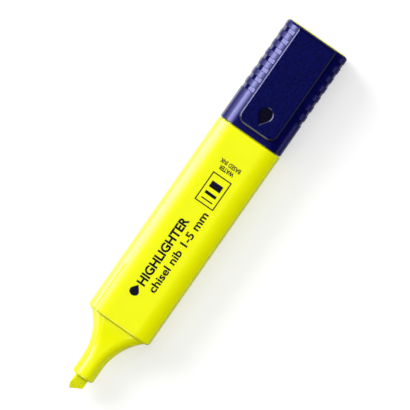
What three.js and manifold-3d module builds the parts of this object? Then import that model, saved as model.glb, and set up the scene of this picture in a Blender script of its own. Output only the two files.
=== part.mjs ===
// A flat-bodied highlighter pen with a chisel nib. The cap is pushed onto the tail, so the nib is bare.
//
// The pen lies on its back. X runs along it from the nib (-X) to the closed end of the cap (+X),
// Y runs across the broad faces and Z points up through the clip. The origin is below the middle
// of the pen, on the surface that it lies on. Units are millimetres.

import * as THREE from "three";
import { mergeVertices } from "three/addons/utils/BufferGeometryUtils.js";
import Module from "manifold-3d";

const wasm = await Module();
wasm.setup();

// Driving dimensions along the pen.
const TOTAL_LENGTH = 146;
const NIB_REACH = 5.4; // bare nib in front of the nose
const NOSE_LENGTH = 21.6; // nose in front of the barrel's rim
const BARREL_LENGTH = 78; // broad part of the barrel
const TAIL_LENGTH = 9.5; // narrow tail that the cap is pushed onto
const MOUTH_GAP = 0.3; // between the barrel's shoulder and the cap's mouth
const INSERT_PROUD = 0.2; // the seal's end plate stands out of the cap by this
const CAP_LENGTH =
  TOTAL_LENGTH - NIB_REACH - NOSE_LENGTH - BARREL_LENGTH - MOUTH_GAP - INSERT_PROUD;

// Walls and clearances.
const BARREL_WALL = 1.3;
const CAP_WALL = 1.2;
const TAIL_WALL = 1.2;
const PRESS_GAP = 0.15; // between pieces that are pressed together
const SLIDE_GAP = 0.28; // between the tail and the inside of the cap
const PAST = 1; // how far a cutter runs past the face that it cuts

// A cross-section has flat broad faces, a shoulder arc beside each flat, and bulged narrow sides.
const BARREL = { halfWidth: 12.5, halfHeight: 7.5, flat: 5.7, radius: 11, sweep: radians(31) };
const CAP = { halfWidth: 12.33, halfHeight: 7.3, flat: 6.4, radius: 6.5, sweep: radians(55) };
const CAP_TAPER = 0.13; // the cap's half-width shrinks by this towards its closed end
const SHOULDER_STEPS = 5;
const SIDE_STEPS = 4;
const FILLET_STEPS = 4;

// Nose: a round tube that flares along an arc to the barrel's mouth.
const TUBE_RADIUS = 4.1;
const TUBE_FLAT = 0.3;
const FLARE_LENGTH = 16;
const FLARE_STEPS = 12;
const NOSE_FILLET = 1.1;
const NOSE_PLUG = 13; // length of the nose inside the barrel
const NOSE_HOLLOW = 8; // how far the hollow reaches forward of the rim
const BREATHER_WIDTH = 1; // air slot beside the nib
const BREATHER_DEPTH = 2.4;
const RIM_FILLET = 1.1;

// Nib: a felt bar with a slanted chisel end.
const NIB = { halfWidth: 2.48, halfHeight: 1.7, flat: 1.6, radius: 0.9, sweep: radians(50) };
const NIB_SLANT = radians(29);
const NIB_EDGE = 1.3; // thickness at the writing edge
const NIB_BEVEL = 3.6; // length of the two bevels behind the edge
const NIB_TAIL = 6; // the nib's other end reaches this far behind the rim
const NIB_CORNER = 0.8; // the long corner of the slanted end is clipped by this
const NIB_CORNER_ANGLE = radians(22);
const NIB_GAP = 0.2;

// Ink store.
const STORE_FRONT = 1.5;
const STORE_REAR = 74;
const WRAP = { halfWidth: 9.25, halfHeight: 4.4, flat: 5.2, radius: 4.2, sweep: radians(60) };
const WRAP_WALL = 0.3;

// Clip.
const CLIP_WIDTH = 15.2;
const CLIP_START = 2.3; // from the cap's mouth to the clip's free end
const CLIP_THICKNESS = 1.5;
const CLIP_LIFT = 0.9; // slot under the clip
const CLIP_CORNER = 3.2;
const CLIP_BEVEL = 0.35;
const CLIP_ROOT = 5.5;
const CLIP_END_RADIUS = 1.7;
const CLIP_NUB = 0.45;
const ROOT_GAP = 0.1;
const MARK_RADIUS = 2.7; // drop-shaped mark sunk into the clip
const MARK_DEPTH = 0.25;
const MARK_CENTRE = 9;

// Grip notches around both narrow sides of the cap.
const NOTCHES = 7;
const NOTCH_FIRST = 13.45; // centre of the first, from the cap's mouth
const NOTCH_PITCH = 3.93;
const NOTCH_WIDTH = 1.65;
const NOTCH_START = 7.8; // each starts at this distance from the middle

// Seal inside the cap: an end plate, a cross-shaped stem and a cup for the nose.
const CUP_RADIUS = 5.2;
const CUP_BORE = 4.3;
const CUP_MOUTH = 15.5;
const CUP_END = 31;
const CUP_FLOOR = 1;
const PLATE_THICKNESS = 1.6;
const STEM_WEB = 1;
const STEM_STEP = 0.4; // the stem is narrower than the cup by this on each side

function radians(degrees) {
  return (degrees * Math.PI) / 180;
}

// The section with its outline moved inwards by a distance.
function inset(section, distance) {
  return {
    ...section,
    halfWidth: section.halfWidth - distance,
    halfHeight: section.halfHeight - distance,
    radius: section.radius - distance,
  };
}

// The section's outline from the middle of its narrow side to the end of its flat.
function quarterOutline({ halfWidth, halfHeight, flat, radius, sweep }) {
  const creaseY = flat + radius * Math.sin(sweep);
  const creaseZ = halfHeight - radius * (1 - Math.cos(sweep));
  const bulge = halfWidth - creaseY;
  const sideRadius = (creaseZ ** 2 + bulge ** 2) / (2 * bulge);
  const sideSweep = Math.asin(creaseZ / sideRadius);
  const points = [];
  for (let i = 0; i < SIDE_STEPS; i++) {
    const turn = (sideSweep * i) / SIDE_STEPS;
    points.push([halfWidth - sideRadius * (1 - Math.cos(turn)), sideRadius * Math.sin(turn)]);
  }
  for (let i = SHOULDER_STEPS; i >= 0; i--) {
    const turn = (sweep * i) / SHOULDER_STEPS;
    points.push([flat + radius * Math.sin(turn), halfHeight - radius * (1 - Math.cos(turn))]);
  }
  return points;
}

// The whole outline, counter-clockwise seen from +X.
function outline(section) {
  const quarter = quarterOutline(section);
  const back = [...quarter].reverse();
  return [
    ...quarter,
    ...back.map(([y, z]) => [-y, z]),
    ...quarter.slice(1).map(([y, z]) => [-y, -z]),
    ...back.slice(0, -1).map(([y, z]) => [y, -z]),
  ];
}

// A closed geometry through one section after another, each at its own x.
function loft(stations) {
  const rings = stations.map(({ x, section }) => outline(section).map(([y, z]) => [x, y, z]));
  const count = rings[0].length;
  const indices = [];
  for (let s = 0; s < rings.length - 1; s++) {
    for (let i = 0; i < count; i++) {
      const a = s * count + i;
      const b = s * count + ((i + 1) % count);
      indices.push(a, b, a + count, b, b + count, a + count);
    }
  }
  const last = (rings.length - 1) * count;
  for (let i = 1; i < count - 1; i++) {
    indices.push(0, i + 1, i, last, last + i, last + i + 1);
  }
  const geometry = new THREE.BufferGeometry();
  geometry.setAttribute("position", new THREE.Float32BufferAttribute(rings.flat(2), 3));
  geometry.setIndex(indices);
  return geometry;
}

// Stations that round the edge at x with a fillet. Direction 1 starts a body there and -1 ends it.
function filletStations(section, x, radius, direction) {
  const stations = [];
  for (let i = 0; i <= FILLET_STEPS; i++) {
    const turn = (Math.PI / 2) * (i / FILLET_STEPS);
    stations.push({
      x: x + direction * radius * (1 - Math.sin(turn)),
      section: inset(section, radius * (1 - Math.cos(turn))),
    });
  }
  return direction === 1 ? stations.reverse() : stations;
}

// A geometry as a manifold solid.
function solid(geometry) {
  const bare = geometry.clone();
  bare.deleteAttribute("normal");
  bare.deleteAttribute("uv");
  const merged = mergeVertices(bare, 1e-4);
  return new wasm.Manifold(
    new wasm.Mesh({
      numProp: 3,
      vertProperties: merged.attributes.position.array,
      triVerts: new Uint32Array(merged.index.array),
    }),
  );
}

function geometryOf(body) {
  const { vertProperties, triVerts } = body.getMesh();
  const geometry = new THREE.BufferGeometry();
  geometry.setAttribute("position", new THREE.BufferAttribute(vertProperties, 3));
  geometry.setIndex(new THREE.BufferAttribute(triVerts, 1));
  geometry.computeVertexNormals();
  return geometry;
}

// A straight body of one section.
function bar(section, from, to) {
  return solid(loft([{ x: from, section }, { x: to, section }]));
}

// A box given by its ends along each axis.
function box([x0, x1], [y0, y1], [z0, z1]) {
  const geometry = new THREE.BoxGeometry(x1 - x0, y1 - y0, z1 - z0);
  return solid(geometry.translate((x0 + x1) / 2, (y0 + y1) / 2, (z0 + z1) / 2));
}

// A round bar along X.
function rod(radius, from, to, sides = 32) {
  const geometry = new THREE.CylinderGeometry(radius, radius, to - from, sides);
  return solid(geometry.rotateZ(-Math.PI / 2).translate((from + to) / 2, 0, 0));
}

// A shape drawn in Y and Z, made solid along X.
function extrudeAlongX(shape, from, to) {
  const geometry = new THREE.ExtrudeGeometry(shape, { depth: to - from, bevelEnabled: false });
  const turn = new THREE.Matrix4().makeBasis(
    new THREE.Vector3(0, 1, 0),
    new THREE.Vector3(0, 0, 1),
    new THREE.Vector3(1, 0, 0),
  );
  return solid(geometry.applyMatrix4(turn).translate(from, 0, 0));
}

// A shape drawn in X and Z, made solid along Y and centred on it.
function extrudeAlongY(shape, width) {
  const geometry = new THREE.ExtrudeGeometry(shape, {
    depth: width,
    bevelEnabled: false,
    curveSegments: 6,
  });
  return solid(geometry.rotateX(Math.PI / 2).translate(0, width / 2, 0));
}

function polygon(points) {
  return new THREE.Shape(points.map(([u, v]) => new THREE.Vector2(u, v)));
}

// ---------------------------------------------------------------- barrel side
// Its x is measured from the barrel's front rim.

const tailSection = inset(CAP, CAP_WALL + SLIDE_GAP);
const plugSection = inset(BARREL, BARREL_WALL + PRESS_GAP);

// The ink line: a shallow groove along one shoulder, starting at the rim.
function shoulderGroove() {
  const length = 18.5;
  const radius = 0.5;
  const depth = 0.18;
  const turn = radians(23);
  const reach = BARREL.radius + radius - depth;
  const y = BARREL.flat + reach * Math.sin(turn);
  const z = BARREL.halfHeight - BARREL.radius + reach * Math.cos(turn);
  return rod(radius, -PAST, length, 12).translate([0, y, z]);
}

// Four short ribs that hold the ink store off the rear wall.
function storeStops(rearWall) {
  const length = 2.5;
  const web = 0.9;
  const apart = 6;
  const clear = 3.2;
  const root = BARREL.halfHeight - BARREL_WALL / 2;
  const stops = [-apart, apart].flatMap((y) =>
    [-1, 1].map((side) => {
      const ends = [side * clear, side * root].sort((a, b) => a - b);
      return box([rearWall - length, rearWall + BARREL_WALL / 2], [y - web / 2, y + web / 2], ends);
    }),
  );
  return stops.reduce((joined, stop) => joined.add(stop));
}

function barrelBody() {
  const rearFillet = 0.4;
  const tailChamfer = 0.6;
  const rearWall = BARREL_LENGTH - BARREL_WALL;
  const tailEnd = BARREL_LENGTH + TAIL_LENGTH;
  const body = solid(
    loft([
      ...filletStations(BARREL, 0, RIM_FILLET, 1),
      ...filletStations(BARREL, BARREL_LENGTH, rearFillet, -1),
    ]),
  );
  const tail = solid(
    loft([
      { x: rearWall, section: tailSection },
      { x: tailEnd - tailChamfer, section: tailSection },
      { x: tailEnd, section: inset(tailSection, tailChamfer / 2) },
    ]),
  );
  return body
    .add(tail)
    .subtract(bar(inset(BARREL, BARREL_WALL), -PAST, rearWall))
    .add(storeStops(rearWall))
    .subtract(bar(inset(tailSection, TAIL_WALL), rearWall - PAST, tailEnd + PAST))
    .subtract(shoulderGroove());
}

// The nose's section at a distance in front of the rim.
function noseSection(ahead) {
  const steep = (plugSection.halfWidth - TUBE_RADIUS) / FLARE_LENGTH;
  const arcRadius = (FLARE_LENGTH * (1 + steep ** 2)) / (2 * steep);
  const run = Math.max(0, FLARE_LENGTH - ahead);
  const rise = arcRadius - Math.sqrt(arcRadius ** 2 - run ** 2);
  const share = rise / (plugSection.halfWidth - TUBE_RADIUS);
  const mix = THREE.MathUtils.lerp;
  return {
    halfWidth: TUBE_RADIUS + rise,
    halfHeight: mix(TUBE_RADIUS, plugSection.halfHeight, share),
    flat: mix(TUBE_FLAT, plugSection.flat, share),
    radius: mix(TUBE_RADIUS - TUBE_FLAT, plugSection.radius, share),
    sweep: plugSection.sweep,
  };
}

function flareStations(from, wall) {
  const stations = [];
  for (let i = 0; i <= FLARE_STEPS; i++) {
    const ahead = from * (1 - i / FLARE_STEPS);
    stations.push({ x: -ahead, section: inset(noseSection(ahead), wall) });
  }
  return stations;
}

function frontSection() {
  const tip = noseSection(NOSE_LENGTH);
  const ends = [-NOSE_LENGTH - PAST, -NOSE_HOLLOW + PAST];
  const breather = box(ends, [-BREATHER_WIDTH / 2, BREATHER_WIDTH / 2], [-BREATHER_DEPTH, 0]);
  const hollow = solid(
    loft([
      ...flareStations(NOSE_HOLLOW, BARREL_WALL),
      { x: NOSE_PLUG + PAST, section: inset(plugSection, BARREL_WALL) },
    ]),
  );
  const outside = solid(
    loft([
      ...filletStations(tip, -NOSE_LENGTH, NOSE_FILLET, 1),
      ...flareStations(FLARE_LENGTH, 0),
      { x: NOSE_PLUG, section: plugSection },
    ]),
  );
  return outside
    .subtract(hollow)
    .subtract(bar(inset(NIB, -NIB_GAP), ...ends))
    .subtract(breather);
}

function nib() {
  const tip = -NOSE_LENGTH - NIB_REACH;
  const far = NIB_TAIL - tip + PAST;
  const half = NIB_EDGE / 2;
  const full = NIB.halfHeight + half;
  const longCorner = NIB.halfWidth - NIB_CORNER;
  const wedge = polygon([
    [0, half],
    [0, -half],
    [NIB_BEVEL, -NIB.halfHeight],
    [NIB_BEVEL + half, -full],
    [far * 2, -full],
    [far * 2, full],
    [NIB_BEVEL + half, full],
    [NIB_BEVEL, NIB.halfHeight],
  ]);
  const slanted = extrudeAlongY(wedge, far)
    .rotate([0, 0, THREE.MathUtils.radToDeg(NIB_SLANT)])
    .translate([tip, longCorner, 0]);
  const clipped = box([-PAST, far * 2], [-far, 0], [-full, full])
    .rotate([0, 0, THREE.MathUtils.radToDeg(NIB_CORNER_ANGLE)])
    .translate([tip, longCorner, 0]);
  return bar(NIB, tip - PAST, NIB_TAIL).intersect(slanted).intersect(clipped);
}

function inkStore() {
  const core = inset(WRAP, WRAP_WALL + PRESS_GAP);
  const socket = bar(inset(NIB, -PRESS_GAP), -PAST, NIB_TAIL + PRESS_GAP * 2);
  return bar(core, STORE_FRONT, STORE_REAR).subtract(socket);
}

function storeWrap() {
  const hollow = bar(inset(WRAP, WRAP_WALL), STORE_FRONT - PAST, STORE_REAR + PAST);
  return bar(WRAP, STORE_FRONT + PRESS_GAP, STORE_REAR - PRESS_GAP).subtract(hollow);
}

function endPlug() {
  const skirt = 5;
  const head = 1.6;
  const wall = 1;
  const end = BARREL_LENGTH + TAIL_LENGTH;
  const section = inset(tailSection, TAIL_WALL + PRESS_GAP);
  const outside = solid(loft([{ x: end - skirt, section }, ...filletStations(section, end, 0.4, -1)]));
  return outside.subtract(bar(inset(section, wall), end - skirt - PAST, end - head));
}

// ------------------------------------------------------------------- cap side
// Its x is measured from the cap's mouth.

const capEnd = { ...CAP, halfWidth: CAP.halfWidth - CAP_TAPER };

// One notch around the +Y side: a slope, a riser, a level ledge and a steep side, mirrored on the back.
function notchShape() {
  const floor = [
    [NOTCH_START, 6.78],
    [9.92, 5.76],
    [10, 5.15],
    [11.2, 5.05],
    [11.5, 4.2],
    [12.02, 1.2],
  ];
  const above = CAP.halfHeight + PAST;
  const beside = CAP.halfWidth + PAST;
  const mirrored = [...floor].reverse().map(([y, z]) => [y, -z]);
  return polygon([
    [NOTCH_START, above],
    ...floor,
    ...mirrored,
    [NOTCH_START, -above],
    [beside, -above],
    [beside, above],
  ]);
}

function capShell() {
  const mouthFillet = 0.3;
  const endFillet = 1.1;
  const ribLength = 8;
  const ribHeight = 0.18;
  const ribWidth = 0.8;
  const ribApart = 4;
  let shell = solid(
    loft([
      ...filletStations(CAP, 0, mouthFillet, 1),
      ...filletStations(capEnd, CAP_LENGTH, endFillet, -1),
    ]),
  ).subtract(bar(inset(capEnd, CAP_WALL), -PAST, CAP_LENGTH + PAST));
  for (const side of [-1, 1]) {
    for (let i = 0; i < NOTCHES; i++) {
      const from = NOTCH_FIRST + i * NOTCH_PITCH - NOTCH_WIDTH / 2;
      const notch = extrudeAlongX(notchShape(), from, from + NOTCH_WIDTH);
      shell = shell.subtract(side === 1 ? notch : notch.mirror([0, 1, 0]));
    }
    for (const y of [-ribApart, ribApart]) {
      const inside = side * (CAP.halfHeight - CAP_WALL);
      const ends = [inside - side * ribHeight, inside + (side * CAP_WALL) / 2].sort((a, b) => a - b);
      const across = [y - ribWidth / 2, y + ribWidth / 2];
      shell = shell.add(box([mouthFillet * 2, ribLength], across, ends));
    }
  }
  return shell;
}

// A drop: a circle with a point, drawn in X and Y with its point towards the cap's mouth.
function dropShape() {
  const lean = radians(35);
  const shape = new THREE.Shape();
  shape.moveTo(-MARK_RADIUS / Math.sin(lean), 0);
  shape.absarc(0, 0, MARK_RADIUS, -Math.PI / 2 - lean, Math.PI / 2 + lean, false);
  return shape;
}

// The clip seen from above, with its bevelled rim.
function clipPlan(bottom, top) {
  const half = CLIP_WIDTH / 2 - CLIP_BEVEL;
  const start = CLIP_START + CLIP_BEVEL;
  const corner = CLIP_CORNER - CLIP_BEVEL;
  const past = CAP_LENGTH + PAST;
  const shape = new THREE.Shape();
  shape.moveTo(past, -half);
  shape.lineTo(past, half);
  shape.absarc(start + corner, half - corner, corner, Math.PI / 2, Math.PI, false);
  shape.absarc(start + corner, corner - half, corner, Math.PI, Math.PI * 1.5, false);
  const geometry = new THREE.ExtrudeGeometry(shape, {
    depth: top - bottom - 2 * CLIP_BEVEL,
    bevelThickness: CLIP_BEVEL,
    bevelSize: CLIP_BEVEL,
    bevelSegments: 1,
    curveSegments: 8,
  });
  return solid(geometry.translate(0, 0, bottom + CLIP_BEVEL));
}

// The clip seen from the side: plate, nub under the free end, root and rounded heel.
function clipSide(foot, under, top) {
  const shape = new THREE.Shape();
  const heel = CAP_LENGTH - CLIP_END_RADIUS;
  const nubStart = CLIP_START + 0.9;
  const nubEnd = nubStart + 1.2;
  const nubSlope = 1.5;
  const rootSlope = 0.6;
  shape.moveTo(CAP_LENGTH, foot);
  shape.absarc(heel, top - CLIP_END_RADIUS, CLIP_END_RADIUS, 0, Math.PI / 2, false);
  shape.lineTo(CLIP_START - PAST, top);
  shape.lineTo(CLIP_START - PAST, under - CLIP_NUB / 2);
  shape.lineTo(nubStart, under - CLIP_NUB);
  shape.lineTo(nubEnd, under - CLIP_NUB);
  shape.lineTo(nubEnd + nubSlope, under);
  shape.lineTo(CAP_LENGTH - CLIP_ROOT - rootSlope, under);
  shape.lineTo(CAP_LENGTH - CLIP_ROOT, foot);
  return shape;
}

function clip() {
  const foot = CAP.halfHeight + ROOT_GAP;
  const under = CAP.halfHeight + CLIP_LIFT;
  const top = under + CLIP_THICKNESS;
  const mark = new THREE.ExtrudeGeometry(dropShape(), {
    depth: MARK_DEPTH + PAST,
    bevelEnabled: false,
    curveSegments: 12,
  });
  return clipPlan(foot - PAST, top)
    .intersect(extrudeAlongY(clipSide(foot, under, top), CLIP_WIDTH + PAST))
    .subtract(solid(mark.translate(MARK_CENTRE, 0, top - MARK_DEPTH)));
}

function seal() {
  const plateSection = inset(capEnd, CAP_WALL + PRESS_GAP);
  const plateStart = CAP_LENGTH + INSERT_PROUD - PLATE_THICKNESS;
  const plate = solid(
    loft([
      { x: plateStart, section: plateSection },
      ...filletStations(plateSection, CAP_LENGTH + INSERT_PROUD, 0.2, -1),
    ]),
  );
  const cup = rod(CUP_RADIUS, CUP_MOUTH, CUP_END).subtract(
    rod(CUP_BORE, CUP_MOUTH - PAST, CUP_END - CUP_FLOOR),
  );
  const reach = CUP_RADIUS - STEM_STEP;
  const span = [CUP_END - CUP_FLOOR / 2, plateStart + PLATE_THICKNESS / 2];
  const web = [-STEM_WEB / 2, STEM_WEB / 2];
  return plate.add(cup).add(box(span, [-reach, reach], web)).add(box(span, web, [-reach, reach]));
}

// ------------------------------------------------------------------- assembly

const yellowGloss = { color: 0xf6f705, roughness: 0.3, metalness: 0 };
const navyGloss = { color: 0x0b0d4a, roughness: 0.28, metalness: 0 };

function piece(name, body, finish) {
  const mesh = new THREE.Mesh(geometryOf(body), new THREE.MeshStandardMaterial(finish));
  mesh.name = name;
  return mesh;
}

const barrelSide = new THREE.Group();
barrelSide.position.x = NIB_REACH + NOSE_LENGTH - TOTAL_LENGTH / 2;
barrelSide.add(
  piece("barrel", barrelBody(), yellowGloss),
  piece("front_section", frontSection(), yellowGloss),
  piece("nib", nib(), { color: 0xd8e400, roughness: 0.85, metalness: 0 }),
  piece("ink_reservoir", inkStore(), { color: 0xe2ea10, roughness: 0.95, metalness: 0 }),
  piece("reservoir_wrap", storeWrap(), { color: 0xf2f2ea, roughness: 0.4, metalness: 0 }),
  piece("end_plug", endPlug(), yellowGloss),
);

const capSide = new THREE.Group();
capSide.position.x = barrelSide.position.x + BARREL_LENGTH + MOUTH_GAP;
capSide.add(
  piece("cap_shell", capShell(), navyGloss),
  piece("clip", clip(), { color: 0x0e1158, roughness: 0.5, metalness: 0 }),
  piece("cap_seal", seal(), yellowGloss),
);

const pen = new THREE.Group();
pen.position.z = BARREL.halfHeight;
pen.add(barrelSide, capSide);

const highlighter = new THREE.Group();
highlighter.name = "highlighter";
highlighter.add(pen);

export default highlighter;
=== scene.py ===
import math
from dataclasses import dataclass, replace

import bmesh
import bpy
from mathutils import Matrix, Vector


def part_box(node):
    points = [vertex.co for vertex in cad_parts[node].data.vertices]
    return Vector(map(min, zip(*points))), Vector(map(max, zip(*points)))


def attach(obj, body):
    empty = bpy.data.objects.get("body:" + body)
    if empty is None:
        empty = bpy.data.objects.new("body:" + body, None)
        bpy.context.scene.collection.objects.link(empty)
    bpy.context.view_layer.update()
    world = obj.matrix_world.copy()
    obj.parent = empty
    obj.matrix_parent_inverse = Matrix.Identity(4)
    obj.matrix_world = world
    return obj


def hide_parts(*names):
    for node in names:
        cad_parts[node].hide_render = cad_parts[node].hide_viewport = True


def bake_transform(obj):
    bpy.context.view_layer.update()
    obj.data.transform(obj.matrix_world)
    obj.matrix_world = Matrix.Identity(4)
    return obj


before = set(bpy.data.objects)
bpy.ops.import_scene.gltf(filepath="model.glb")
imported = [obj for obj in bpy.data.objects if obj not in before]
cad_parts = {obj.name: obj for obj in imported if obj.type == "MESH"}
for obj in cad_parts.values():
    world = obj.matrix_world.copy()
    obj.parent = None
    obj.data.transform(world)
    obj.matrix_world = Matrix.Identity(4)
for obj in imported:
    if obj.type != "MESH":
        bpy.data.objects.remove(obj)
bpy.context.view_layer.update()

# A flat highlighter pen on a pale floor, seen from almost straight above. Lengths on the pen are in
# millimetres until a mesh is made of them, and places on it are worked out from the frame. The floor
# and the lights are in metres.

MM = 0.001


def node_box(node):
    """Lowest and highest corner of a CAD node, in millimetres."""
    low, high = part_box(node)
    return low / MM, high / MM


barrel_low, barrel_high = node_box("barrel")
nose_low, nose_high = node_box("front_section")
nib_low, nib_high = node_box("nib")
cap_low, cap_high = node_box("cap_shell")
seal_high = node_box("cap_seal")[1]
clip_low, clip_high = node_box("clip")
plug_low, plug_high = node_box("end_plug")

# Places along the pen.
AXIS_Z = (barrel_low.z + barrel_high.z) / 2
RIM = barrel_low.x
MOUTH = cap_low.x
MOUTH_GAP = 0.3
SHOULDER = MOUTH - MOUTH_GAP
TAIL_END = barrel_high.x
CAP_END = cap_high.x

# Walls and clearances, as in the frame.
BARREL_WALL = 1.3
CAP_WALL = 1.2
TAIL_WALL = 1.2
PRESS_GAP = 0.15
SLIDE_GAP = 0.28
PAST = 1  # how far a cutter runs past what it cuts

# Steps of the fine meshes.
SIDE_STEPS = 14
CREASE_STEPS = 6
SHOULDER_STEPS = 56
FLAT_STEPS = 32
FILLET_STEPS = 10
SHARP = 28  # edges that turn by more degrees than this stay sharp

PEN, CAP_SIDE, CLIP_SIDE = "pen_body", "cap_body", "clip_body"


# ------------------------------------------------------------------ cross-sections


@dataclass(frozen=True)
class Section:
    """Flat broad faces, a shoulder arc beside each flat, and bulged narrow sides.

    The shoulder turns by sweep and meets the side at a crease, which is rounded by crease.
    """

    half_width: float
    half_height: float
    flat: float
    radius: float
    sweep: float
    crease: float

    def inset(self, distance):
        return replace(
            self,
            half_width=self.half_width - distance,
            half_height=self.half_height - distance,
            radius=self.radius - distance,
            crease=max(self.crease - distance, 0.05),
        )


BARREL = Section(barrel_high.y, AXIS_Z - barrel_low.z, 5.7, 11, math.radians(31), 0.7)
CAP = Section(cap_high.y, AXIS_Z - cap_low.z, 6.4, 6.5, math.radians(55), 0.5)
CAP_TAPER = 0.13
CAP_REAR = replace(CAP, half_width=CAP.half_width - CAP_TAPER)
TAIL = CAP.inset(CAP_WALL + SLIDE_GAP)
NOSE_PLUG = BARREL.inset(BARREL_WALL + PRESS_GAP)
NIB = Section(nib_high.y, (nib_high.z - nib_low.z) / 2, 1.6, 0.9, math.radians(50), 0.3)


def arc(centre, radius, start, end, steps):
    """Points from angle start to angle end round a centre."""
    turns = [start + (end - start) * i / steps for i in range(steps + 1)]
    return [(centre[0] + radius * math.cos(t), centre[1] + radius * math.sin(t)) for t in turns]


def quarter_outline(section):
    """The outline from the middle of the +Y side to the end of the front flat."""
    core = section.inset(section.crease)
    crease = section.crease
    turn = math.pi / 2 - core.sweep
    corner = (
        core.flat + core.radius * math.sin(core.sweep),
        core.half_height - core.radius * (1 - math.cos(core.sweep)),
    )
    bulge = core.half_width - corner[0]
    side_radius = (corner[1] ** 2 + bulge**2) / (2 * bulge)
    side_turn = math.asin(corner[1] / side_radius)
    side_centre = (core.half_width - side_radius, 0)
    shoulder_centre = (core.flat, core.half_height - core.radius)
    side = arc(side_centre, side_radius + crease, 0, side_turn, SIDE_STEPS)
    rounding = arc(corner, crease, side_turn, turn, CREASE_STEPS)
    shoulder = arc(shoulder_centre, core.radius + crease, turn, math.pi / 2, SHOULDER_STEPS)
    return side + rounding[1:] + shoulder[1:]


def outline(section):
    """The whole outline as (y, z) about the pen's axis, counter-clockwise seen from +X."""
    quarter = quarter_outline(section)
    flat = [
        (section.flat * (1 - 2 * i / FLAT_STEPS), section.half_height) for i in range(1, FLAT_STEPS)
    ]
    back = quarter[::-1]
    top = quarter + flat + [(-y, z) for y, z in back]
    return top + [(-y, -z) for y, z in top[1:-1]]


def ring(x, section):
    return [(x, y, z) for y, z in outline(section)]


def fillet_rings(section, x, radius, direction):
    """Rings that round the edge at x. Direction 1 starts a body there and -1 ends it."""
    rings = []
    for i in range(FILLET_STEPS + 1):
        turn = math.pi / 2 * i / FILLET_STEPS
        section_here = section.inset(radius * (1 - math.cos(turn)))
        rings.append(ring(x + direction * radius * (1 - math.sin(turn)), section_here))
    return rings[::-1] if direction == 1 else rings


def spaced(start, end, steps):
    return [start + (end - start) * i / steps for i in range(steps + 1)]


def rectangle(x, y):
    return [(x[0], y[0]), (x[1], y[0]), (x[1], y[1]), (x[0], y[1])]


# ------------------------------------------------------------------ meshes


def piece_from(name, points, faces):
    """A smoothly shaded object from points about the pen's axis."""
    mesh = bpy.data.meshes.new(name)
    mesh.from_pydata([Vector((x, y, z + AXIS_Z)) * MM for x, y, z in points], [], faces)
    mesh.shade_smooth()
    mesh.set_sharp_from_angle(angle=math.radians(SHARP))
    piece = bpy.data.objects.new(name, mesh)
    bpy.context.scene.collection.objects.link(piece)
    return piece


def loft(name, rings, closed=False):
    """A piece through one ring after another. Closed joins the last to the first, as in a tube wall."""
    count = len(rings[0])
    faces = []
    for low in range(len(rings) if closed else len(rings) - 1):
        high = (low + 1) % len(rings)
        for i in range(count):
            j = (i + 1) % count
            faces.append((low * count + i, low * count + j, high * count + j, high * count + i))
    points = [point for each in rings for point in each]
    if not closed:
        faces.append(tuple(range(count))[::-1])
        faces.append(tuple(range(len(points) - count, len(points))))
    return piece_from(name, points, faces)


def prism(name, points, low, high, place):
    """A straight piece from an outline. Place turns (u, v, level) into a point about the pen's axis."""
    count = len(points)
    made = [place(u, v, level) for level in (low, high) for u, v in points]
    faces = [(i, (i + 1) % count, count + (i + 1) % count, count + i) for i in range(count)]
    faces.append(tuple(range(count))[::-1])
    faces.append(tuple(range(count, 2 * count)))
    piece = piece_from(name, made, faces)
    tidy(piece.data)
    return piece


def upright(u, v, level):
    return (u, v, level)


def store_tidy(shape, mesh, near):
    """Merges points as near as this, turns every face outwards and stores the shape in the mesh."""
    bmesh.ops.remove_doubles(shape, verts=shape.verts, dist=near)
    bmesh.ops.recalc_face_normals(shape, faces=shape.faces)
    shape.to_mesh(mesh)
    shape.free()


def tidy(mesh, near=1e-7):
    """Merges a mesh's points that are as near as this and turns every face outwards."""
    shape = bmesh.new()
    shape.from_mesh(mesh)
    store_tidy(shape, mesh, near)


def apply_modifiers(piece):
    graph = bpy.context.evaluated_depsgraph_get()
    mesh = bpy.data.meshes.new_from_object(piece.evaluated_get(graph))
    piece.modifiers.clear()
    piece.data = mesh


def combine(piece, other, operation):
    """Joins another piece to this one, cuts it away or keeps what both hold. The other is used up."""
    modifier = piece.modifiers.new(operation, "BOOLEAN")
    modifier.operation = operation
    modifier.solver = "EXACT"
    modifier.object = other
    apply_modifiers(piece)
    bpy.data.objects.remove(other)


def soften(piece, width, segments=3, angle=25):
    """Rounds the sharp edges and keeps the flat faces flat."""
    bevel = piece.modifiers.new("edges", "BEVEL")
    bevel.width = width * MM
    bevel.segments = segments
    bevel.limit_method = "ANGLE"
    bevel.angle_limit = math.radians(angle)
    bevel.use_clamp_overlap = True
    apply_modifiers(piece)
    tidy(piece.data, near=1e-6)
    piece.data.shade_smooth()
    piece.data.set_sharp_from_angle(angle=math.radians(40))
    piece.modifiers.new("normals", "WEIGHTED_NORMAL").keep_sharp = True
    apply_modifiers(piece)


# ------------------------------------------------------------------ pieces on the pen

RIM_FILLET = 0.9
SHOULDER_FILLET = 0.4
TAIL_CHAMFER = 0.6
GROOVE_LENGTH = 18.5
GROOVE_TURN = math.radians(23)
GROOVE_CUTTER = 0.5
GROOVE_DEPTH = 0.18


def with_groove(points):
    """Sinks the points of a ring that lie in the groove along the front +Y shoulder."""
    centre_z = BARREL.half_height - BARREL.radius
    sunk = []
    for x, y, z in points:
        turn = math.atan2(y - BARREL.flat, z - centre_z)
        across = BARREL.radius * (turn - GROOVE_TURN)
        past_end = max(0, x - RIM - GROOVE_LENGTH)
        reach = GROOVE_CUTTER**2 - across**2 - past_end**2
        depth = math.sqrt(max(reach, 0)) - GROOVE_CUTTER + GROOVE_DEPTH
        if depth > 0 and z > 0:
            y -= depth * math.sin(turn)
            z -= depth * math.cos(turn)
        sunk.append((x, y, z))
    return sunk


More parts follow.
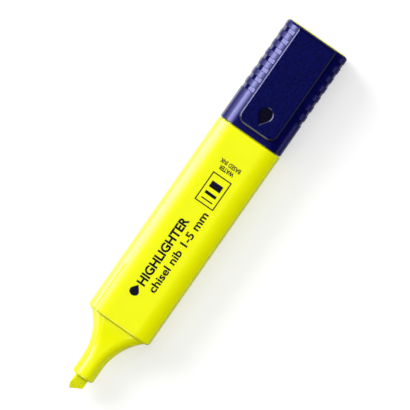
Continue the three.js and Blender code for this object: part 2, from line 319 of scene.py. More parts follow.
def make_barrel():
    rear_wall = SHOULDER - BARREL_WALL
    inside = BARREL.inset(BARREL_WALL)
    bore = TAIL.inset(TAIL_WALL)
    groove_end = RIM + GROOVE_LENGTH
    # The rings are closest where the groove's end is round.
    outer = fillet_rings(BARREL, RIM, RIM_FILLET, 1)
    outer += [ring(x, BARREL) for x in spaced(RIM + 2 * RIM_FILLET, groove_end - 1, 6)]
    outer += [ring(x, BARREL) for x in spaced(groove_end - 0.1, groove_end + 0.5, 10)]
    outer += [ring(x, BARREL) for x in spaced(groove_end + 2, SHOULDER - 1, 10)]
    outer += fillet_rings(BARREL, SHOULDER, SHOULDER_FILLET, -1)
    rings = [with_groove(each) for each in outer]
    rings += [ring(SHOULDER, TAIL), ring(TAIL_END - TAIL_CHAMFER, TAIL)]
    rings += [ring(TAIL_END, TAIL.inset(TAIL_CHAMFER / 2)), ring(TAIL_END, bore)]
    rings += [ring(rear_wall, bore), ring(rear_wall, inside), ring(RIM, inside)]
    return loft("barrel_shell", rings, closed=True)


NOSE_FRONT = nose_low.x
NOSE_BACK = nose_high.x
TUBE_RADIUS = 4.1
TUBE_FLAT = 0.3
TUBE_CREASE = 1.5
FLARE_CREASE = 0.5
FLARE_LENGTH = 16
NOSE_FILLET = 1.1
NIB_GAP = 0.2
HOLLOW_START = RIM - 8
BREATHER_DEPTH = 2.4
BREATHER_HALF = 0.5
SEAM_WIDTH = 0.3
SEAM_DEPTH = 0.35


def nose_section(ahead):
    """The nose's section at a distance in front of the rim: a tube that flares along an arc."""
    growth = NOSE_PLUG.half_width - TUBE_RADIUS
    steep = growth / FLARE_LENGTH
    arc_radius = FLARE_LENGTH * (1 + steep**2) / (2 * steep)
    run = max(0, FLARE_LENGTH - ahead)
    rise = arc_radius - math.sqrt(arc_radius**2 - run**2)
    share = rise / growth

    def mix(tube, mouth):
        return tube + (mouth - tube) * share

    return Section(
        TUBE_RADIUS + rise,
        mix(TUBE_RADIUS, NOSE_PLUG.half_height),
        mix(TUBE_FLAT, NOSE_PLUG.flat),
        mix(TUBE_RADIUS - TUBE_FLAT, NOSE_PLUG.radius),
        NOSE_PLUG.sweep,
        mix(TUBE_CREASE, FLARE_CREASE),
    )


def with_breather(points):
    """Sinks the middle of a bore's lower side, where air gets past the nib."""
    return [
        (x, y, -BREATHER_DEPTH if z < 0 and abs(y) < BREATHER_HALF else z) for x, y, z in points
    ]


def make_nose():
    tip = nose_section(RIM - NOSE_FRONT)
    bore = NIB.inset(-NIB_GAP)
    hollow = NOSE_PLUG.inset(BARREL_WALL)
    rings = fillet_rings(tip, NOSE_FRONT, NOSE_FILLET, 1)
    seam_start = RIM - SEAM_WIDTH
    rings += [ring(x, nose_section(RIM - x)) for x in spaced(RIM - FLARE_LENGTH, seam_start, 40)]
    rings += [ring(x, NOSE_PLUG.inset(SEAM_DEPTH)) for x in (seam_start, RIM)]
    rings += [ring(RIM + SEAM_WIDTH, NOSE_PLUG), ring(NOSE_BACK, NOSE_PLUG)]
    rings += [ring(NOSE_BACK, hollow), ring(RIM, hollow)]
    rings.append(ring(HOLLOW_START, nose_section(RIM - HOLLOW_START).inset(BARREL_WALL)))
    rings.append(with_breather(ring(HOLLOW_START, bore)))
    rings.append(with_breather(ring(NOSE_FRONT, bore)))
    return loft("nose", rings, closed=True)


NIB_SLANT = math.radians(29)
NIB_EDGE = 1.3
NIB_BEVEL = 3.6
NIB_CORNER = 0.8
NIB_CORNER_TURN = math.radians(22)
NIB_WEAR = 0.14


def make_nib():
    """A felt bar cut to a slanted chisel, with its edges worn round."""
    tip = nib_low.x
    back = nib_high.x
    rings = [ring(x, NIB) for x in spaced(tip - PAST, back, 8)]
    piece = loft("nib_felt", rings)
    half = NIB_EDGE / 2
    corner = Vector((tip, NIB.half_width - NIB_CORNER, 0))
    inward = Vector((math.cos(NIB_SLANT), math.sin(NIB_SLANT), 0))
    lean = math.atan2(NIB.half_height - half, NIB_BEVEL)
    flat_end = (corner, -inward)
    bevels = []
    for side in (1, -1):
        normal = -inward * math.sin(lean) + Vector((0, 0, side * math.cos(lean)))
        bevels.append((corner + Vector((0, 0, side * half)), normal))
    clipped = (corner, Vector((-math.sin(NIB_CORNER_TURN), math.cos(NIB_CORNER_TURN), 0)))
    shape = bmesh.new()
    shape.from_mesh(piece.data)
    for point, normal in (flat_end, *bevels, clipped):
        place = (point + Vector((0, 0, AXIS_Z))) * MM
        everything = shape.verts[:] + shape.edges[:] + shape.faces[:]
        cut = bmesh.ops.bisect_plane(
            shape, geom=everything, plane_co=place, plane_no=normal, clear_outer=True
        )
        rim = [e for e in cut["geom_cut"] if isinstance(e, bmesh.types.BMEdge)]
        bmesh.ops.contextual_create(shape, geom=rim)
    store_tidy(shape, piece.data, near=2e-5)
    soften(piece, NIB_WEAR, segments=4)
    return piece


PLUG_WALL = 1
PLUG_FLOOR = 1.6
PLUG_FILLET = 0.4


def make_end_plug():
    section = TAIL.inset(TAIL_WALL + PRESS_GAP)
    inside = section.inset(PLUG_WALL)
    start = plug_low.x
    end = plug_high.x
    rings = [ring(end - PLUG_FLOOR, inside), ring(start, inside), ring(start, section)]
    rings += fillet_rings(section, end, PLUG_FILLET, -1)
    return loft("tail_plug", rings)


# ------------------------------------------------------------------ pieces on the cap

NOTCHES = 7
NOTCH_FIRST = 13.45
NOTCH_PITCH = 3.93
NOTCH_WIDTH = 1.65
NOTCH_EDGE = 0.08
NOTCH_START = 7.8
# From above: a slope, a riser, a level ledge and a steep side, as (y, z) about the pen's axis.
NOTCH_FLOOR = [
    (NOTCH_START, 6.78),
    (9.92, 5.76),
    (10.0, 5.15),
    (11.2, 5.05),
    (11.5, 4.2),
    (12.02, 1.2),
    (12.02, 0),
]


def along(points, distance):
    """The point at a distance along a run of points."""
    for start, end in zip(points, points[1:]):
        length = math.dist(start, end)
        if distance <= length:
            share = distance / length
            return [a + (b - a) * share for a, b in zip(start, end)]
        distance -= length
    return list(points[-1])


def total_length(points):
    return sum(math.dist(a, b) for a, b in zip(points, points[1:]))


def notch_targets(section):
    """For each outline point beyond the notch's start in one quarter, its place on the floor."""
    rim = [(y, z) for y, z in quarter_outline(section) if y > NOTCH_START][::-1]
    scale = total_length(NOTCH_FLOOR) / total_length(rim)
    return {
        (round(y, 6), round(z, 6)): along(NOTCH_FLOOR, total_length(rim[: i + 1]) * scale)
        for i, (y, z) in enumerate(rim)
    }


def notched(x, section, share):
    """A ring at x with its sides moved by a share of the way to the floor of the notches."""
    targets = notch_targets(section)
    moved = []
    for y, z in outline(section):
        floor = targets.get((round(abs(y), 6), round(abs(z), 6)))
        if floor:
            y += (math.copysign(floor[0], y) - y) * share
            z += (math.copysign(floor[1], z) - z) * share
        moved.append((x, y, z))
    return moved


def cap_section(x):
    return replace(CAP, half_width=CAP.half_width - CAP_TAPER * (x - MOUTH) / (CAP_END - MOUTH))


def notch_rings(middle):
    """The rings of one notch, with a small round at the top and the foot of each wall."""
    rings = []
    for side in (-1, 1):
        wall = middle + side * NOTCH_WIDTH / 2
        for step in spaced(-1, 1, 6):
            x = wall + NOTCH_EDGE * step
            share = (1 - side * math.sin(step * math.pi / 2)) / 2
            rings.append(notched(x, cap_section(x), share))
    return rings


RIB_START = MOUTH + 0.6
RIB_END = MOUTH + 8
RIB_SLOPE = 0.3
RIB_HEIGHT = 0.18
RIB_OFFSET = 4  # from the middle of the cap
RIB_HALF = 0.4
MOUTH_FILLET = 0.3
CAP_FILLET = 1.1


def with_mouth_ribs(points):
    """Raises the four low ribs inside the cap's mouth that grip the tail."""
    raised = []
    for x, y, z in points:
        if abs(abs(y) - RIB_OFFSET) < RIB_HALF:
            z -= math.copysign(RIB_HEIGHT, z)
        raised.append((x, y, z))
    return raised


def make_cap_shell():
    inside = CAP_REAR.inset(CAP_WALL)
    rings = fillet_rings(CAP, MOUTH, MOUTH_FILLET, 1)
    rings += [ring(x, cap_section(x)) for x in spaced(MOUTH + 1, MOUTH + NOTCH_FIRST - 2, 4)]
    for i in range(NOTCHES):
        rings += notch_rings(MOUTH + NOTCH_FIRST + i * NOTCH_PITCH)
    rings += fillet_rings(CAP_REAR, CAP_END, CAP_FILLET, -1)
    rings += [ring(CAP_END, inside), ring(RIB_END + RIB_SLOPE, inside)]
    rings += [with_mouth_ribs(ring(x, inside)) for x in (RIB_END, RIB_START + RIB_SLOPE)]
    rings += [ring(RIB_START, inside), ring(MOUTH, inside)]
    return loft("cap_body_shell", rings, closed=True)


CUP_RADIUS = 5.2
CUP_BORE = 4.3
CUP_MOUTH = 15.5
CUP_END = 31
CUP_FLOOR = 1
PLATE_THICKNESS = 1.6
PLATE_FILLET = 0.2
STEM_REACH = CUP_RADIUS - 0.4
STEM_THICKNESS = 1
ROUND_STEPS = 64


def circle_ring(x, radius):
    return [(x, y, z) for y, z in arc((0, 0), radius, 0, math.tau, ROUND_STEPS)[:-1]]


def block(name, x, y, z):
    return prism(name, rectangle(x, y), z[0], z[1], upright)


def make_seal():
    """The end plate, a cross-shaped stem and the cup that closes over the nose."""
    section = CAP_REAR.inset(CAP_WALL + PRESS_GAP)
    end = seal_high.x
    start = end - PLATE_THICKNESS
    edge = fillet_rings(section, end, PLATE_FILLET, -1)
    piece = loft("cap_end_seal", [ring(start, section), *edge])
    run = (MOUTH + CUP_END - CUP_FLOOR / 2, end - PLATE_THICKNESS / 2)
    wide = (-STEM_REACH, STEM_REACH)
    thin = (-STEM_THICKNESS / 2, STEM_THICKNESS / 2)
    for number, (y, z) in enumerate(((wide, thin), (thin, wide))):
        combine(piece, block(f"web_{number}", run, y, z), "UNION")
    mouth = MOUTH + CUP_MOUTH
    foot = MOUTH + CUP_END
    cup = loft(
        "cup",
        [
            circle_ring(foot - CUP_FLOOR, CUP_BORE),
            circle_ring(mouth, CUP_BORE),
            circle_ring(mouth, CUP_RADIUS),
            circle_ring(foot, CUP_RADIUS),
        ],
    )
    combine(piece, cup, "UNION")
    piece.data.shade_smooth()
    piece.data.set_sharp_from_angle(angle=math.radians(SHARP))
    return piece


CLIP_START = clip_low.x
CLIP_HALF = clip_high.y
CLIP_TOP = clip_high.z - AXIS_Z
CLIP_THICKNESS = 1.5
CLIP_UNDER = CLIP_TOP - CLIP_THICKNESS
CLIP_CORNER = 3.2
# The double bevel of the upper rim, as how far each line is in from the side and down from the top.
CLIP_RIM = ((0.62, 0), (0.32, 0.14), (0, 0.7))
CLIP_LOWER_BEVEL = 0.3
CLIP_ROOT = 5.5
CLIP_HEEL = 1.7
CLIP_NUB = 0.45
SLOT_ROUND = 0.8
FOOT_DEPTH = 0.15
MARK_RADIUS = 2.7
MARK_SLOPE = 0.36
MARK_DEPTH = 0.18
MARK_CENTRE = MOUTH + 9.2
LEVEL_MARGIN = 0.05


def clip_plan(inset):
    """The clip's outline from above, inset by a distance, running past the cap's end."""
    half = CLIP_HALF - inset
    corner = CLIP_CORNER - inset
    start = CLIP_START + inset
    past = CAP_END + 2 * PAST
    upper = arc((start + corner, half - corner), corner, math.pi / 2, math.pi, 18)
    lower = arc((start + corner, corner - half), corner, math.pi, math.pi * 1.5, 18)
    return [(past, half), *upper, *lower, (past, -half)]


def bevelled_plate(bottom, top):
    """The clip's plan between two levels, bevelled round its lower and upper rims."""
    levels = [(CLIP_LOWER_BEVEL, bottom), (0, bottom + CLIP_LOWER_BEVEL)]
    levels += [(inset, top - drop) for inset, drop in reversed(CLIP_RIM)]
    rings = [[(x, y, z) for x, y in clip_plan(inset)] for inset, z in levels]
    plate = loft("clip_plate", rings)
    tidy(plate.data)
    return plate


def clip_side():
    """The clip from the side: heel, plate, nub under the free end, slot and foot."""
    foot = CAP.half_height - FOOT_DEPTH
    nub = CLIP_UNDER - CLIP_NUB
    nub_start = CLIP_START + 0.9
    nub_end = CLIP_START + 2.1
    slot_start = CLIP_START + 3.6
    root = CAP_END - CLIP_ROOT
    heel = arc((CAP_END - CLIP_HEEL, CLIP_TOP - CLIP_HEEL), CLIP_HEEL, 0, math.pi / 2, 14)
    slot_end = arc((root - SLOT_ROUND, CLIP_UNDER - SLOT_ROUND), SLOT_ROUND, math.pi / 2, 0, 8)
    return [
        (CAP_END, foot),
        *heel,
        (CLIP_START - PAST, CLIP_TOP),
        (CLIP_START - PAST, CLIP_UNDER - CLIP_NUB / 2),
        (nub_start, nub),
        (nub_end, nub),
        (slot_start, CLIP_UNDER),
        *slot_end,
        (root, foot),
    ]


def drop_outline(radius, steps=40):
    """A drop about the origin with its point towards -X."""
    lean = math.radians(35)
    turn = math.pi / 2 + lean
    return [(-radius / math.sin(lean), 0), *arc((0, 0), radius, -turn, turn, steps)]


def mark_rings():
    """The drop that is sunk into the clip, with sloping edges."""
    levels = [(CLIP_TOP - MARK_DEPTH, MARK_RADIUS - MARK_SLOPE), (CLIP_TOP, MARK_RADIUS)]
    levels.append((CLIP_TOP + PAST, MARK_RADIUS))
    return [[(x + MARK_CENTRE, y, z) for x, y in drop_outline(radius)] for z, radius in levels]


def store(piece, name, rule):
    """Marks the points of a piece for its material, by a rule about their place in millimetres."""
    marks = piece.data.attributes.new(name, "FLOAT", "POINT")
    centre = Vector((0, 0, AXIS_Z))
    marks.data.foreach_set("value", [float(rule(v.co / MM - centre)) for v in piece.data.vertices])


def in_mark(point):
    """Whether a point is on the sunk drop's floor."""
    near = math.hypot(point.x - MARK_CENTRE, point.y) < 2 * MARK_RADIUS
    return near and abs(point.z - CLIP_TOP + MARK_DEPTH) < LEVEL_MARGIN


def make_clip():
    piece = bevelled_plate(CAP.half_height - PAST, CLIP_TOP)
    side = prism(
        "clip_side",
        clip_side(),
        -CLIP_HALF - PAST,
        CLIP_HALF + PAST,
        lambda u, v, level: (u, level, v),
    )
    combine(piece, side, "INTERSECT")
    mark = loft("clip_mark", mark_rings())
    combine(piece, mark, "DIFFERENCE")
    soften(piece, 0.04, segments=2, angle=15)
    # Below the clip's top face: a glossier polish, and a colour darkened there as painted shade.
    store(piece, "polished_and_shaded", lambda point: point.z < CLIP_TOP - LEVEL_MARGIN)
    # The sunk drop's floor, which the material paints near black as shade.
    store(piece, "sunk", in_mark)
    piece.name = "clip_moulding"
    return piece


# ------------------------------------------------------------------ print

INK_PROUD = 0.02
INK_SUNK = 0.01
FRONT_TOP = BARREL.half_height
CAPITAL_HEIGHT = 0.73  # of Blender's own font at size 1
BOLD = 0.036
MEDIUM = 0.025


def printed(name, points):
    """A flat ink shape on the barrel's front, from an outline in X and Y."""
    low = FRONT_TOP - INK_SUNK
    high = FRONT_TOP + INK_PROUD
    return prism(name, points, low, high, upright)


def join(piece, other):
    """Makes the other part of this piece's mesh. The other is used up."""
    shape = bmesh.new()
    shape.from_mesh(piece.data)
    shape.from_mesh(other.data)
    shape.to_mesh(piece.data)
    shape.free()
    bpy.data.objects.remove(other)


def printed_words(name, words, place, height, length, weight, turn=0.0):
    """A line of generic wording with its lower left corner at place, and its capitals this high."""
    text = bpy.data.curves.new(name, "FONT")
    text.body = words
    text.offset = weight
    text.extrude = 0.5  # makes it 1 thick, which the scale turns into the ink's thickness
    text.resolution_u = 3
    holder = bpy.data.objects.new(name, text)
    bpy.context.scene.collection.objects.link(holder)
    graph = bpy.context.evaluated_depsgraph_get()
    mesh = bpy.data.meshes.new_from_object(holder.evaluated_get(graph))
    bpy.data.objects.remove(holder)
    tidy(mesh, near=1e-4)
    xs = [v.co.x for v in mesh.vertices]
    stretch = length / (max(xs) - min(xs))
    scale = Matrix.Diagonal((stretch, height / CAPITAL_HEIGHT, INK_PROUD + INK_SUNK, 1))
    middle = AXIS_Z + FRONT_TOP + (INK_PROUD - INK_SUNK) / 2
    spin = Matrix.Rotation(turn, 4, "Z")
    move = Matrix.Translation((place[0], place[1], middle))
    start = Matrix.Translation((-min(xs), 0, 0))
    mesh.transform(Matrix.Scale(MM, 4) @ move @ spin @ scale @ start)
    piece = bpy.data.objects.new(name, mesh)
    bpy.context.scene.collection.objects.link(piece)
    return piece


def framed_bars(name):
    """Three bars of growing width, for the lines that the nib draws, inside a thin frame."""
    left = RIM + 50.3
    right = left + 11.4
    low = -4.0
    high = 3.6
    line = 0.42
    first_bar = left + 1.7
    margin = 1.6
    gap = 1.5
    outside = rectangle((left, right), (low, high))
    inside = rectangle((left + line, right - line), (low + line, high - line))
    levels = (FRONT_TOP - INK_SUNK, FRONT_TOP + INK_PROUD)
    corners = [(outside, levels[0]), (outside, levels[1]), (inside, levels[1]), (inside, levels[0])]
    piece = loft(name, [[(x, y, z) for x, y in shape] for shape, z in corners], closed=True)
    x = first_bar
    for width in (0.45, 1.1, 2.4):
        join(piece, printed("bar", rectangle((x, x + width), (low + margin, high - margin))))
        x += width + gap
    tidy(piece.data)
    return piece


def make_print():
    drop_x = RIM + 12.9
    drop_y = 2.35
    slim = 0.62
    short = 0.55
    drop = [(drop_x - x * short, y * slim + drop_y) for x, y in drop_outline(2.75)][::-1]
    start = RIM + 16
    across = RIM + 64.9
    below = across + 2.2
    up = math.pi / 2
    return [
        printed("print_drop", drop),
        printed_words("print_name", "HIGHLIGHTER", (start, 0.55), 3.2, 27.2, BOLD),
        printed_words("print_nib", "chisel nib 1-5 mm", (start, -3.75), 2.85, 32.4, MEDIUM),
        framed_bars("print_frame"),
        printed_words("print_water", "WATER", (across, -2.9), 1.6, 5.8, BOLD, up),
        printed_words("print_base", "BASED INK", (below, -4.2), 1.6, 8.1, MEDIUM, up),
    ]


# ------------------------------------------------------------------ materials


def shader_of(name, values):
    """A new material and its Principled shader, with the values that are the same all over."""
    material = bpy.data.materials.new(name)
    material.use_nodes = True
    shader = material.node_tree.nodes["Principled BSDF"]
    for socket, value in values.items():
        shader.inputs[socket].default_value = value
    return material, shader


def noise(material, size, detail=2.0, stretch=(1, 1, 1)):
    """Noise fixed to the piece, with lumps of about this size in millimetres."""
    tree = material.node_tree
    place = tree.nodes.new("ShaderNodeTexCoord")
    scale = tree.nodes.new("ShaderNodeMapping")
    scale.inputs["Scale"].default_value = [1 / (size * MM * s) for s in stretch]
    texture = tree.nodes.new("ShaderNodeTexNoise")
    texture.inputs["Scale"].default_value = 1.0
    texture.inputs["Detail"].default_value = detail
    tree.links.new(place.outputs["Object"], scale.inputs["Vector"])
    tree.links.new(scale.outputs["Vector"], texture.inputs["Vector"])
    return texture.outputs["Fac"]


def vary_colour(material, shader, factor, stops):
    """The base colour runs through the stops as the factor grows."""
    ramp = material.node_tree.nodes.new("ShaderNodeValToRGB")
    elements = ramp.color_ramp.elements
    for element, (position, colour) in zip(elements, stops):
        element.position = position
        element.color = (*colour, 1)
    material.node_tree.links.new(factor, ramp.inputs["Fac"])
    material.node_tree.links.new(ramp.outputs["Color"], shader.inputs["Base Color"])


def marked(material, name):
    """The marks that a piece stores under this name, from 0 to 1."""
    marks = material.node_tree.nodes.new("ShaderNodeAttribute")
    marks.attribute_name = name
    return marks.outputs["Fac"]


def recolour(material, shader, factor, colour):
    """The base colour turns to this one as the factor grows to 1."""
    tree = material.node_tree
    mix = tree.nodes.new("ShaderNodeMix")
    mix.data_type = "RGBA"
    base = shader.inputs["Base Color"].links[0].from_socket
    tree.links.new(factor, mix.inputs["Factor"])
    tree.links.new(base, mix.inputs["A"])
    mix.inputs["B"].default_value = (*colour, 1)
    tree.links.new(mix.outputs["Result"], shader.inputs["Base Color"])


def vary(material, socket, factor, start, end, low, high):
    """A socket runs from low to high as the factor runs from start to end."""
    spread = material.node_tree.nodes.new("ShaderNodeMapRange")
    spread.inputs["From Min"].default_value = start
    spread.inputs["From Max"].default_value = end
    spread.inputs["To Min"].default_value = low
    spread.inputs["To Max"].default_value = high
    material.node_tree.links.new(factor, spread.inputs["Value"])
    material.node_tree.links.new(spread.outputs["Result"], socket)


def vary_roughness(material, shader, factor, low, high):
    """The roughness runs from low to high with noise, most of which lies between 0.3 and 0.7."""
    vary(material, shader.inputs["Roughness"], factor, 0.3, 0.7, low, high)


def add_bump(material, shader, height, depth):
    """Raises the surface by up to this depth in millimetres."""
    bump = material.node_tree.nodes.new("ShaderNodeBump")
    bump.inputs["Distance"].default_value = depth * MM
    bump.inputs["Strength"].default_value = 1.0
    material.node_tree.links.new(height, bump.inputs["Height"])
    material.node_tree.links.new(bump.outputs["Normal"], shader.inputs["Normal"])


def fluorescent_plastic():
    material, shader = shader_of(
        "fluorescent_yellow_plastic",
        {
            "Subsurface Weight": 0.15,
            "Subsurface Radius": (1.0, 0.9, 0.1),
            "Subsurface Scale": 0.8 * MM,
            "IOR": 1.49,
        },
    )
    stops = [(0.3, (0.82, 0.85, 0.0006)), (0.7, (0.84, 0.87, 0.0009))]
    vary_colour(material, shader, noise(material, 9, 2), stops)
    vary_roughness(material, shader, noise(material, 3, 4), 0.15, 0.19)
    add_bump(material, shader, noise(material, 0.5, 3), 0.0012)
    return material


# The highlights on the navy plastic are bluish.
NAVY_GLOSS = {"IOR": 1.49, "Specular IOR Level": 0.72, "Specular Tint": (0.58, 0.58, 1.0, 1)}


def navy_plastic():
    material, shader = shader_of("navy_plastic", NAVY_GLOSS)
    stops = [(0.3, (0.0018, 0.0018, 0.072)), (0.7, (0.0026, 0.0026, 0.088))]
    vary_colour(material, shader, noise(material, 6, 2), stops)
    vary_roughness(material, shader, noise(material, 2, 4), 0.17, 0.22)
    add_bump(material, shader, noise(material, 0.35, 3), 0.0025)
    return material


def eroded_navy_plastic():
    """The clip, with the grain of a spark-eroded mould on its face and a glossier polish below the
    face: on the rim, the heel and underneath. There the colour is darkened as painted shade, and the
    sunk drop's floor is painted near black as shade.
    """
    material, shader = shader_of("eroded_navy_plastic", NAVY_GLOSS)
    grain = noise(material, 0.3, 3)
    stops = [(0.38, (0.0002, 0.0008, 0.022)), (0.62, (0.0010, 0.0024, 0.092))]
    vary_colour(material, shader, grain, stops)
    # Painted shade: the rim, heel and underside are coloured darker than the face.
    recolour(material, shader, marked(material, "polished_and_shaded"), (0.0006, 0.0008, 0.03))
    # Painted shade: the sunk drop's floor is coloured near black.
    recolour(material, shader, marked(material, "sunk"), (0.0010, 0.0010, 0.007))
    vary_roughness(material, shader, noise(material, 1.5, 3), 0.20, 0.25)
    gloss = shader.inputs["Specular IOR Level"]
    vary(material, gloss, marked(material, "polished_and_shaded"), 0, 1, 0.5, 1)
    add_bump(material, shader, grain, 0.008)
    return material


def felt(name, dark, light):
    """Bonded fibres that run along the pen, soaked with ink."""
    material, shader = shader_of(name, {"Specular IOR Level": 0.15})
    fibres = noise(material, 0.16, 3, stretch=(9, 1, 1))
    vary_colour(material, shader, fibres, [(0.32, dark), (0.68, light)])
    vary_roughness(material, shader, fibres, 0.7, 0.95)
    add_bump(material, shader, fibres, 0.05)
    return material


def film():
    material, shader = shader_of("clear_film", {"IOR": 1.5})
    stops = [(0.3, (0.8, 0.8, 0.76)), (0.7, (0.88, 0.88, 0.84))]
    vary_colour(material, shader, noise(material, 4, 2), stops)
    vary_roughness(material, shader, noise(material, 1, 3), 0.15, 0.3)
    return material


def print_ink():
    material, shader = shader_of("navy_print", {"IOR": 1.45, "Specular IOR Level": 0.15})
    stops = [(0.3, (0.0010, 0.0010, 0.009)), (0.7, (0.0018, 0.0018, 0.016))]
    vary_colour(material, shader, noise(material, 0.4, 3), stops)
    vary_roughness(material, shader, noise(material, 0.5, 3), 0.35, 0.5)
    return material


def floor_material():
    """A matt white sheet, lit a little from behind like a light table, so that shadows stay pale."""
    material, shader = shader_of("pale_floor", {"Specular IOR Level": 0.0, "Roughness": 1.0})
    shader.inputs["Base Color"].default_value = (0.5, 0.5, 0.5, 1)
    shader.inputs["Emission Color"].default_value = (1, 1, 1, 1)
    shader.inputs["Emission Strength"].default_value = 0.55
    return material


# ------------------------------------------------------------------ assembly


def dress(piece, material):
    piece.data.materials.clear()
    piece.data.materials.append(material)


def place(piece, body, material, slot, node=None):
    dress(piece, material)
    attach(piece, body)
    if node:
        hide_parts(node)


def finish_cad_node(node, material):
    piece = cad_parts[node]
    dress(piece, material)


yellow = fluorescent_plastic()
navy = navy_plastic()
ink = print_ink()
nib_fibre = felt("nib_felt", (0.52, 0.56, 0.0), (0.84, 0.87, 0.0))
ink_fibre = felt("ink_fibre", (0.55, 0.6, 0.0), (0.8, 0.85, 0.02))
place(make_barrel(), PEN, yellow, "yellow_shell", "barrel")
place(make_nose(), PEN, yellow, "yellow_shell", "front_section")
place(make_nib(), PEN, nib_fibre, "felt_nib", "nib")
place(make_end_plug(), PEN, yellow, "yellow_shell", "end_plug")
place(make_cap_shell(), CAP_SIDE, navy, "navy_shell", "cap_shell")
place(make_seal(), CAP_SIDE, yellow, "yellow_shell", "cap_seal")
for mark in make_print():
    place(mark, PEN, ink, "navy_shell")

clip = make_clip()
dress(clip, eroded_navy_plastic())
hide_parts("clip")
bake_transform(clip)

finish_cad_node("ink_reservoir", ink_fibre)
finish_cad_node("reservoir_wrap", film())


# ------------------------------------------------------------------ floor, lights and camera


FLOOR_RADIUS = 6


def make_floor():
    bpy.ops.mesh.primitive_circle_add(vertices=96, radius=FLOOR_RADIUS, fill_type="NGON")
    floor = bpy.context.object
    floor.name = "floor"
    floor.data.materials.append(floor_material())
    floor.visible_glossy = False


PEN_CENTRE = Vector((0, 0, 0))
NOSE_CENTRE = Vector((RIM - 6, 0, AXIS_Z)) * MM


def place_light(light, direction, distance, aim, seen):
    """Hangs a light in a direction from its aim. Only the diffuse or the glossy shading shows it."""
    holder = bpy.data.objects.new(light.name, light)
    away = Vector(direction).normalized() * distance
    holder.location = aim + away
    holder.rotation_mode = "QUATERNION"
    holder.rotation_quaternion = away.to_track_quat("Z", "Y")
    holder.visible_camera = False
    holder.visible_glossy = seen == "glossy"
    holder.visible_diffuse = seen == "diffuse"
    bpy.context.scene.collection.objects.link(holder)


def softbox(name, direction, distance, size, radiance, aim=PEN_CENTRE):
    """A rectangle of light that the glossy parts reflect."""
    light = bpy.data.lights.new(name, "AREA")
    light.shape = "RECTANGLE"
    light.size, light.size_y = size
    light.energy = radiance * math.pi * size[0] * size[1]
    place_light(light, direction, distance, aim, "glossy")


def even_light(name, direction, strength, spread):
    """Soft light of the same strength everywhere, with its spread in degrees."""
    light = bpy.data.lights.new(name, "SUN")
    light.energy = strength
    light.angle = math.radians(spread)
    place_light(light, direction, 1, PEN_CENTRE, "diffuse")


LIGHT_DISTANCE = 0.6
NOSE_LIGHT_DISTANCE = 0.16
STRIP_LENGTH = 0.55
# Strips of a curved softbox round the pen: from and to an angle off the vertical, and brightness.
SHEEN = [
    (23, 30, 2.4),
    (30, 37, 5.0),
    (37, 44, 8.6),
    (44, 61, 11.8),
    (61, 74, 2.8),
    (74, 85, 2.0),
    (-85, -72, 0.6),
]


def make_lights():
    """Softboxes make the highlights and even lights the shading."""
    for number, (start, end, radiance) in enumerate(SHEEN):
        middle = math.radians((start + end) / 2)
        direction = (0, math.sin(middle), math.cos(middle))
        width = 2 * LIGHT_DISTANCE * math.tan(math.radians((end - start) / 2))
        size = (STRIP_LENGTH, width)
        softbox(f"sheen_{number}", direction, LIGHT_DISTANCE, size, radiance)
    corner_direction = (-0.7, 0.62, 0.35)
    corner_size = (0.13, 0.07)
    softbox("corner_sheen", corner_direction, NOSE_LIGHT_DISTANCE, corner_size, 4.0, NOSE_CENTRE)
    softbox("nib_sheen", (-0.84, 0, 0.54), LIGHT_DISTANCE, (0.25, 0.4), 3.4)
    even_light("key", (0.17, 0.84, 0.52), 3.3, 32)
    even_light("top_fill", (0.25, 0.2, 1), 1.85, 60)
    even_light("low_fill", (0, -1, 0.06), 1.2, 20)


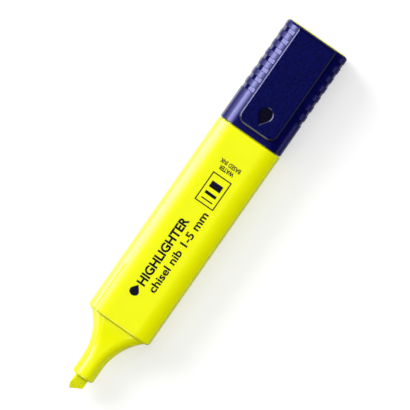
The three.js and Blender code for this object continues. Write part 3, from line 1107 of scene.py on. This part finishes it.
def make_world():
    """A dark studio with a pale ground on the key's side, and plain white behind the floor."""
    world = bpy.data.worlds.new("studio")
    world.use_nodes = True
    world.cycles.sampling_method = "NONE"
    bpy.context.scene.world = world
    tree = world.node_tree
    rays = tree.nodes.new("ShaderNodeLightPath")
    here = tree.nodes.new("ShaderNodeTexCoord")
    axes = tree.nodes.new("ShaderNodeSeparateXYZ")
    side = tree.nodes.new("ShaderNodeMapRange")
    side.interpolation_type = "SMOOTHSTEP"
    side.inputs["From Min"].default_value = -0.3
    side.inputs["From Max"].default_value = 0.5
    side.inputs["To Min"].default_value = 0.22
    side.inputs["To Max"].default_value = 0.95
    ground = tree.nodes.new("ShaderNodeMapRange")
    ground.inputs["From Min"].default_value = 0.03
    ground.inputs["From Max"].default_value = -0.03
    ground.inputs["To Min"].default_value = 0.015
    pale = tree.nodes.new("ShaderNodeBackground")
    pale.inputs["Color"].default_value = (1, 1, 1, 1)
    studio = tree.nodes["Background"]
    pick = tree.nodes.new("ShaderNodeMixShader")
    tree.links.new(here.outputs["Generated"], axes.inputs["Vector"])
    tree.links.new(axes.outputs["Y"], side.inputs["Value"])
    tree.links.new(axes.outputs["Z"], ground.inputs["Value"])
    tree.links.new(side.outputs["Result"], ground.inputs["To Max"])
    tree.links.new(ground.outputs["Result"], studio.inputs["Color"])
    tree.links.new(rays.outputs["Is Camera Ray"], pick.inputs["Fac"])
    tree.links.new(studio.outputs["Background"], pick.inputs[1])
    tree.links.new(pale.outputs["Background"], pick.inputs[2])
    tree.links.new(pick.outputs["Shader"], tree.nodes["World Output"].inputs["Surface"])


def make_camera():
    """Almost straight above, turned so that the nib is at the lower left and the cap at the top."""
    lean = math.radians(55.1)
    tilt = math.radians(2)
    frame_width = 139.2
    target = Vector((4.35, -0.78, AXIS_Z)) * MM
    camera = bpy.data.cameras.new("camera")
    camera.lens = 800
    camera.sensor_width = 36
    distance = frame_width * MM * camera.lens / camera.sensor_width
    right = Vector((math.cos(lean), -math.sin(lean), 0))
    upward = Vector((math.sin(lean), math.cos(lean), 0))
    back = upward * math.sin(tilt) + Vector((0, 0, math.cos(tilt)))
    top = back.cross(right)
    holder = bpy.data.objects.new("camera", camera)
    turn = Matrix((right, top, back)).transposed().to_4x4()
    holder.matrix_world = Matrix.Translation(target + back * distance) @ turn
    camera.clip_start = 0.01
    camera.clip_end = 20
    bpy.context.scene.collection.objects.link(holder)
    bpy.context.scene.camera = holder


make_floor()
make_lights()
make_world()
make_camera()
bpy.context.scene.view_settings.view_transform = "Standard"
